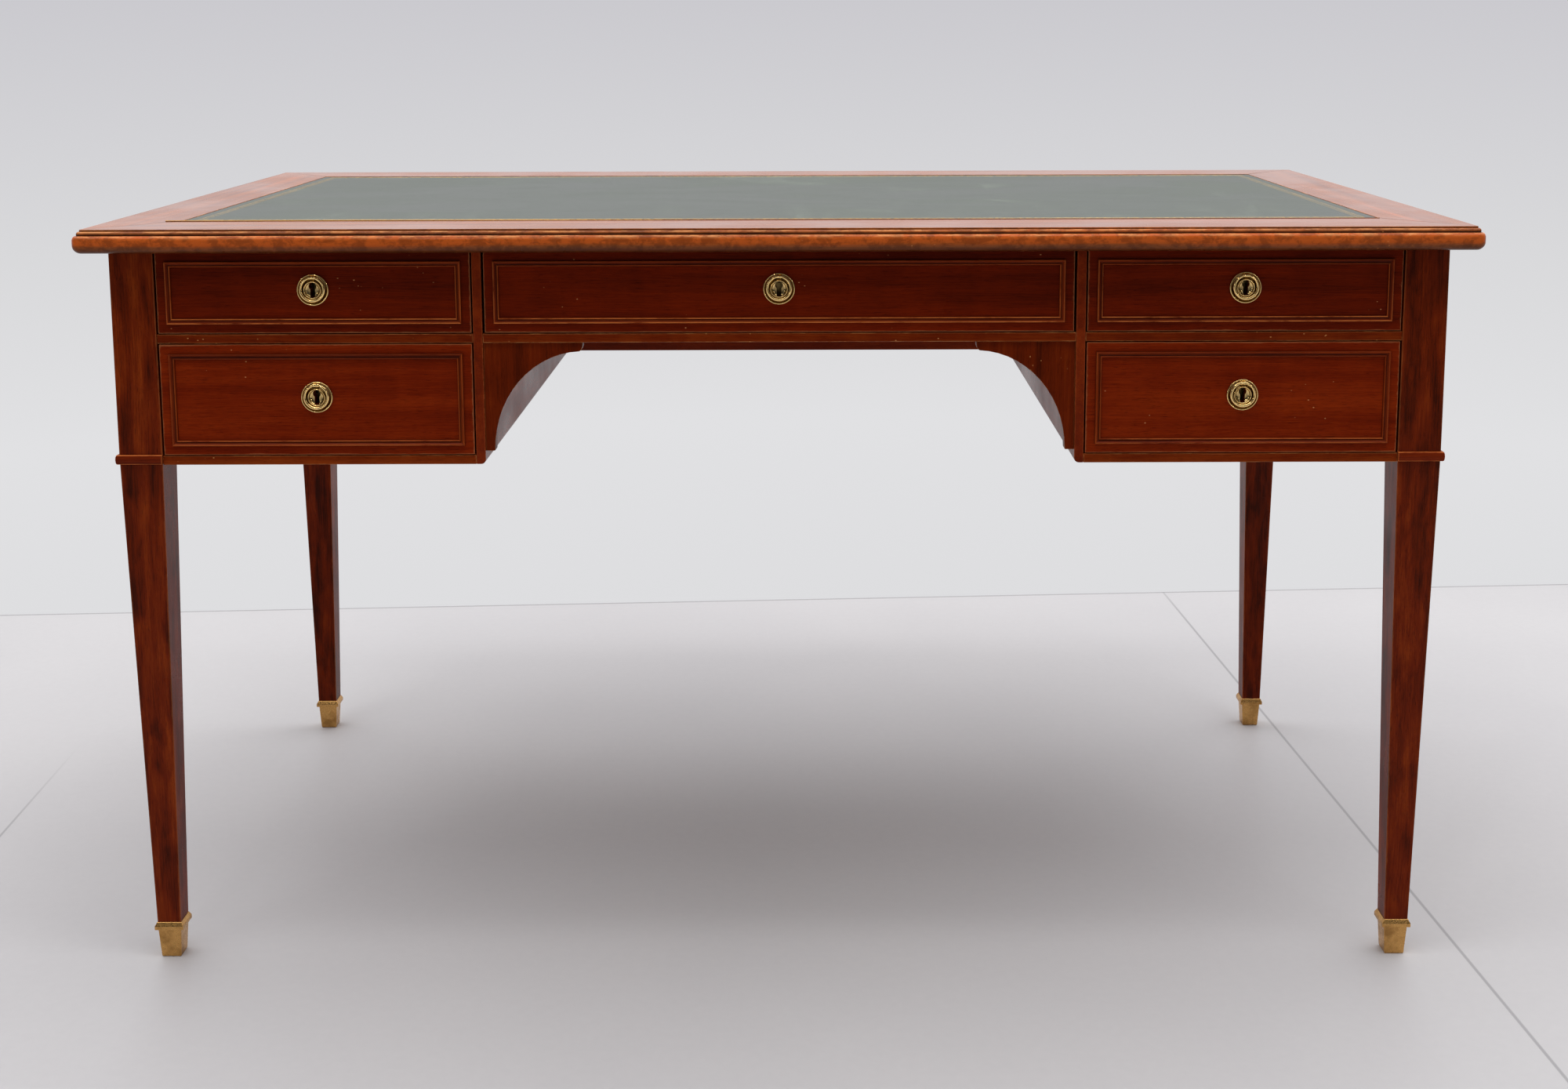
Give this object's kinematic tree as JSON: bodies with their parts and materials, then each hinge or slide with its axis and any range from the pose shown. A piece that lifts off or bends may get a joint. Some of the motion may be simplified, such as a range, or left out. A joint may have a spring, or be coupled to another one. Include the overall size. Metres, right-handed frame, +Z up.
{
  "type": "writing desk",
  "caption": "Flat-topped writing desk with a moulded edge, leather-lined top, kneehole between side drawers, applied mouldings, ring pulls and tapered legs in brass sabots",
  "frame": {"origin": "middle of the floor rectangle under the desktop's outline, on the floor", "axes": "+X to the right of a person facing the drawers, +Y from the drawers towards the back, +Z up"},
  "size_m": [1.403, 0.781, 0.782],
  "materials": {
    "top_wood": "polished mahogany, warm orange-brown edge, light wear",
    "carcass_wood": "polished mahogany, dark red-brown",
    "leg_wood": "polished mahogany with fine flecked grain",
    "rail_wood": "polished mahogany rails and brackets",
    "moulding_wood": "polished mahogany moulding with rubbed edges",
    "drawer_front_wood": "French-polished deep red mahogany",
    "oak": "plain planed oak, unpolished",
    "desk_leather": "green desk leather with a gold-tooled border line, satin",
    "aged_brass": "cast and turned brass, lightly aged",
    "lock_brass": "plain rolled brass",
    "screw_steel": "plain steel wood screws"
  },
  "bodies": {
    "carcass": {"desktop_panel": "carcass_wood", "desktop_border": "top_wood", "leather_inset": "desk_leather", "leg_front_left": "leg_wood", "leg_front_right": "leg_wood", "leg_back_left": "leg_wood", "leg_back_right": "leg_wood", "leg_collars": "moulding_wood", "brass_sabots": "aged_brass", "side_panel_left": "carcass_wood", "side_panel_right": "carcass_wood", "back_panel": "carcass_wood", "partition_left": "carcass_wood", "partition_right": "carcass_wood", "dust_board_left": "carcass_wood", "dust_board_right": "carcass_wood", "bottom_board_left": "carcass_wood", "bottom_board_right": "carcass_wood", "centre_rail": "rail_wood", "kneehole_brackets": "rail_wood", "drawer_runners": "oak", "drawer_stops": "oak", "corner_blocks": "oak", "top_screws": "screw_steel", "panel_mouldings": "moulding_wood"},
    "left_upper_drawer": {"left_upper_drawer_front": "drawer_front_wood", "left_upper_drawer_box": "oak", "left_upper_front_moulding": "moulding_wood", "left_upper_lock_case": "lock_brass", "left_upper_pull_plate": "aged_brass"},
    "left_upper_pull_ring": {"left_upper_pull_ring": "aged_brass"},
    "left_upper_lock_bolt": {"left_upper_lock_bolt": "lock_brass"},
    "left_lower_drawer": {"left_lower_drawer_front": "drawer_front_wood", "left_lower_drawer_box": "oak", "left_lower_front_moulding": "moulding_wood", "left_lower_lock_case": "lock_brass", "left_lower_pull_plate": "aged_brass"},
    "left_lower_pull_ring": {"left_lower_pull_ring": "aged_brass"},
    "left_lower_lock_bolt": {"left_lower_lock_bolt": "lock_brass"},
    "centre_drawer": {"centre_drawer_front": "drawer_front_wood", "centre_drawer_box": "oak", "centre_front_moulding": "moulding_wood", "centre_lock_case": "lock_brass", "centre_pull_plate": "aged_brass"},
    "centre_pull_ring": {"centre_pull_ring": "aged_brass"},
    "centre_lock_bolt": {"centre_lock_bolt": "lock_brass"},
    "right_upper_drawer": {"right_upper_drawer_front": "drawer_front_wood", "right_upper_drawer_box": "oak", "right_upper_front_moulding": "moulding_wood", "right_upper_lock_case": "lock_brass", "right_upper_pull_plate": "aged_brass"},
    "right_upper_pull_ring": {"right_upper_pull_ring": "aged_brass"},
    "right_upper_lock_bolt": {"right_upper_lock_bolt": "lock_brass"},
    "right_lower_drawer": {"right_lower_drawer_front": "drawer_front_wood", "right_lower_drawer_box": "oak", "right_lower_front_moulding": "moulding_wood", "right_lower_lock_case": "lock_brass", "right_lower_pull_plate": "aged_brass"},
    "right_lower_pull_ring": {"right_lower_pull_ring": "aged_brass"},
    "right_lower_lock_bolt": {"right_lower_lock_bolt": "lock_brass"}
  },
  "joints": [
    {"name": "left_upper_drawer_slide", "type": "slide", "parent": "carcass", "child": "left_upper_drawer", "axis": [0, -1, 0], "range_m": [0, 0.45]},
    {"name": "left_upper_ring_hinge", "type": "hinge", "parent": "left_upper_drawer", "child": "left_upper_pull_ring", "pos_m": [-0.46925, -0.3665, 0.73125], "axis": [-1, 0, 0], "range_deg": [0, 90]},
    {"name": "left_upper_bolt_slide", "type": "slide", "parent": "left_upper_drawer", "child": "left_upper_lock_bolt", "axis": [0, 0, 1], "range_m": [0, 0.006]},
    {"name": "left_lower_drawer_slide", "type": "slide", "parent": "carcass", "child": "left_lower_drawer", "axis": [0, -1, 0], "range_m": [0, 0.45]},
    {"name": "left_lower_ring_hinge", "type": "hinge", "parent": "left_lower_drawer", "child": "left_lower_pull_ring", "pos_m": [-0.46925, -0.3665, 0.6215], "axis": [-1, 0, 0], "range_deg": [0, 90]},
    {"name": "left_lower_bolt_slide", "type": "slide", "parent": "left_lower_drawer", "child": "left_lower_lock_bolt", "axis": [0, 0, 1], "range_m": [0, 0.006]},
    {"name": "centre_drawer_slide", "type": "slide", "parent": "carcass", "child": "centre_drawer", "axis": [0, -1, 0], "range_m": [0, 0.45]},
    {"name": "centre_ring_hinge", "type": "hinge", "parent": "centre_drawer", "child": "centre_pull_ring", "pos_m": [0, -0.3665, 0.73125], "axis": [-1, 0, 0], "range_deg": [0, 90]},
    {"name": "centre_bolt_slide", "type": "slide", "parent": "centre_drawer", "child": "centre_lock_bolt", "axis": [0, 0, 1], "range_m": [0, 0.006]},
    {"name": "right_upper_drawer_slide", "type": "slide", "parent": "carcass", "child": "right_upper_drawer", "axis": [0, -1, 0], "range_m": [0, 0.45]},
    {"name": "right_upper_ring_hinge", "type": "hinge", "parent": "right_upper_drawer", "child": "right_upper_pull_ring", "pos_m": [0.46925, -0.3665, 0.73125], "axis": [-1, 0, 0], "range_deg": [0, 90]},
    {"name": "right_upper_bolt_slide", "type": "slide", "parent": "right_upper_drawer", "child": "right_upper_lock_bolt", "axis": [0, 0, 1], "range_m": [0, 0.006]},
    {"name": "right_lower_drawer_slide", "type": "slide", "parent": "carcass", "child": "right_lower_drawer", "axis": [0, -1, 0], "range_m": [0, 0.45]},
    {"name": "right_lower_ring_hinge", "type": "hinge", "parent": "right_lower_drawer", "child": "right_lower_pull_ring", "pos_m": [0.46925, -0.3665, 0.6215], "axis": [-1, 0, 0], "range_deg": [0, 90]},
    {"name": "right_lower_bolt_slide", "type": "slide", "parent": "right_lower_drawer", "child": "right_lower_lock_bolt", "axis": [0, 0, 1], "range_m": [0, 0.006]}
  ]
}
